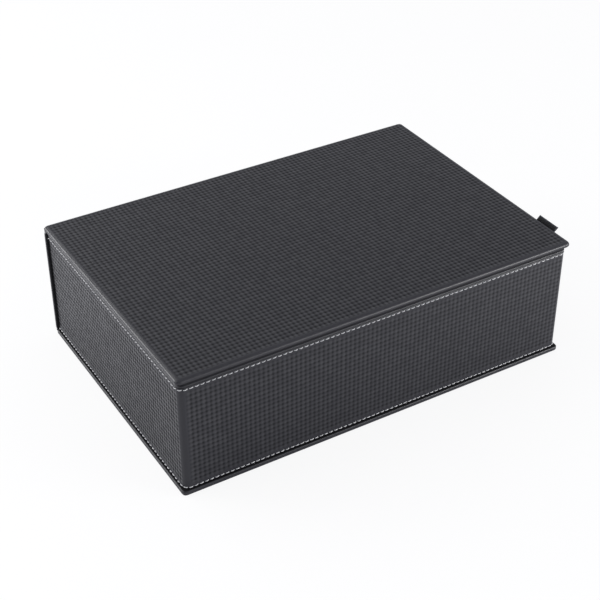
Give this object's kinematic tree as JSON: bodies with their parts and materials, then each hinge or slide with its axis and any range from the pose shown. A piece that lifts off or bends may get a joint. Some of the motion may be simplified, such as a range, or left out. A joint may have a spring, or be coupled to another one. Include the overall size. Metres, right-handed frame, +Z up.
{
  "type": "watch box",
  "caption": "Hard book-style watch box: leatherette case with a flat hinged lid, stitched tray, suede compartments and lift-out watch cushions.",
  "frame": {"origin": "centre of the case's underside, under the middle of the base", "axes": "+X to the right along the front, +Y from the front to the hinged back, +Z up"},
  "size_m": [0.3148, 0.213, 0.0945],
  "materials": {
    "leatherette": "black embossed leatherette, satin",
    "board": "grey board, matt",
    "suede": "black suede cloth, matt",
    "cushion_suede": "charcoal suede cloth, matt",
    "ribbon": "black woven ribbon, matt",
    "thread": "pale grey thread, matt",
    "magnet_steel": "plated magnet, satin"
  },
  "bodies": {
    "case": {"base_cover": "leatherette", "base_board": "board", "spine_cover": "leatherette", "spine_board": "board", "hinge_leather": "leatherette", "hinge_liner": "suede", "tray_cover": "leatherette", "front_wall": "board", "back_wall": "board", "left_wall": "board", "right_wall": "board", "wall_magnet_left": "magnet_steel", "wall_magnet_right": "magnet_steel", "floor_board": "board", "floor_lining": "suede", "front_lining": "suede", "back_lining": "suede", "left_lining": "suede", "right_lining": "suede", "long_divider": "suede", "cross_divider_1": "suede", "cross_divider_2": "suede", "cross_divider_3": "suede", "cross_divider_4": "suede"},
    "lid": {"lid_cover": "leatherette", "lid_board": "board", "lid_lining": "suede", "lid_magnet_left": "magnet_steel", "lid_magnet_right": "magnet_steel", "side_tab": "ribbon"},
    "cushion_front_1": {"cushion_front_1": "cushion_suede"},
    "cushion_front_2": {"cushion_front_2": "cushion_suede"},
    "cushion_front_3": {"cushion_front_3": "cushion_suede"},
    "cushion_front_4": {"cushion_front_4": "cushion_suede"},
    "cushion_front_5": {"cushion_front_5": "cushion_suede"},
    "cushion_back_1": {"cushion_back_1": "cushion_suede"},
    "cushion_back_2": {"cushion_back_2": "cushion_suede"},
    "cushion_back_3": {"cushion_back_3": "cushion_suede"},
    "cushion_back_4": {"cushion_back_4": "cushion_suede"},
    "cushion_back_5": {"cushion_back_5": "cushion_suede"}
  },
  "joints": [
    {"name": "lid_hinge", "type": "hinge", "parent": "case", "child": "lid", "pos_m": [0, 0.1068, 0.09025], "axis": [-1, 0, 0], "range_deg": [0, 170], "deforming": ["hinge_leather", "hinge_liner"]},
    {"name": "cushion_front_1_lift", "type": "slide", "parent": "case", "child": "cushion_front_1", "axis": [0, 0, 1], "range_m": [0, 0.028]},
    {"name": "cushion_front_2_lift", "type": "slide", "parent": "case", "child": "cushion_front_2", "axis": [0, 0, 1], "range_m": [0, 0.028]},
    {"name": "cushion_front_3_lift", "type": "slide", "parent": "case", "child": "cushion_front_3", "axis": [0, 0, 1], "range_m": [0, 0.028]},
    {"name": "cushion_front_4_lift", "type": "slide", "parent": "case", "child": "cushion_front_4", "axis": [0, 0, 1], "range_m": [0, 0.028]},
    {"name": "cushion_front_5_lift", "type": "slide", "parent": "case", "child": "cushion_front_5", "axis": [0, 0, 1], "range_m": [0, 0.028]},
    {"name": "cushion_back_1_lift", "type": "slide", "parent": "case", "child": "cushion_back_1", "axis": [0, 0, 1], "range_m": [0, 0.028]},
    {"name": "cushion_back_2_lift", "type": "slide", "parent": "case", "child": "cushion_back_2", "axis": [0, 0, 1], "range_m": [0, 0.028]},
    {"name": "cushion_back_3_lift", "type": "slide", "parent": "case", "child": "cushion_back_3", "axis": [0, 0, 1], "range_m": [0, 0.028]},
    {"name": "cushion_back_4_lift", "type": "slide", "parent": "case", "child": "cushion_back_4", "axis": [0, 0, 1], "range_m": [0, 0.028]},
    {"name": "cushion_back_5_lift", "type": "slide", "parent": "case", "child": "cushion_back_5", "axis": [0, 0, 1], "range_m": [0, 0.028]}
  ]
}
